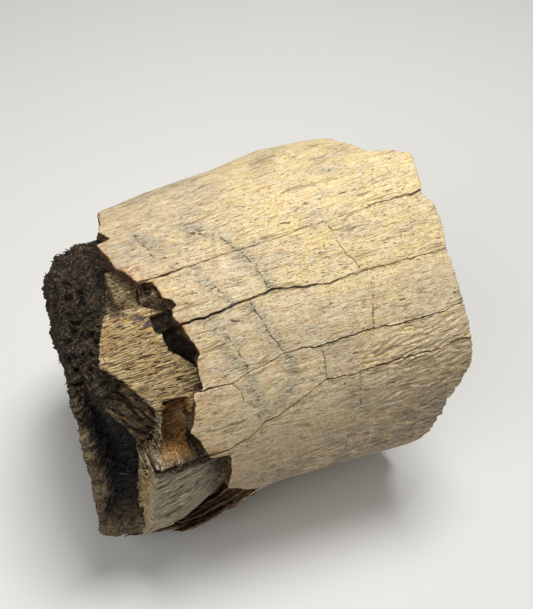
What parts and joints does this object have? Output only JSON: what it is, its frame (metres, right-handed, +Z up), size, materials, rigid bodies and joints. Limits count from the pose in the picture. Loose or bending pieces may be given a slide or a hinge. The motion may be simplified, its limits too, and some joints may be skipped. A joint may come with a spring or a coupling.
{
  "type": "fossil dinosaur bone fragment",
  "caption": "Length of fossil limb-bone shaft, broken at both ends, with a ragged rim, a bared inner layer and a dark spongy end; lies on its side.",
  "frame": {"origin": "centre of the bounding box, at its base, on the surface that the fragment rests on", "axes": "+X along the shaft from the dark, spongy broken end to the far break, +Z up"},
  "size_m": [0.0756, 0.0676, 0.0699],
  "materials": {
    "fossil_bone": "dull, weathered cream and tan outer layer with a fine lengthwise grain; ochre inner layer and black-brown spongy bone where it is broken"
  },
  "bodies": {
    "root": {"bone_fragment": "fossil_bone"}
  },
  "joints": []
}
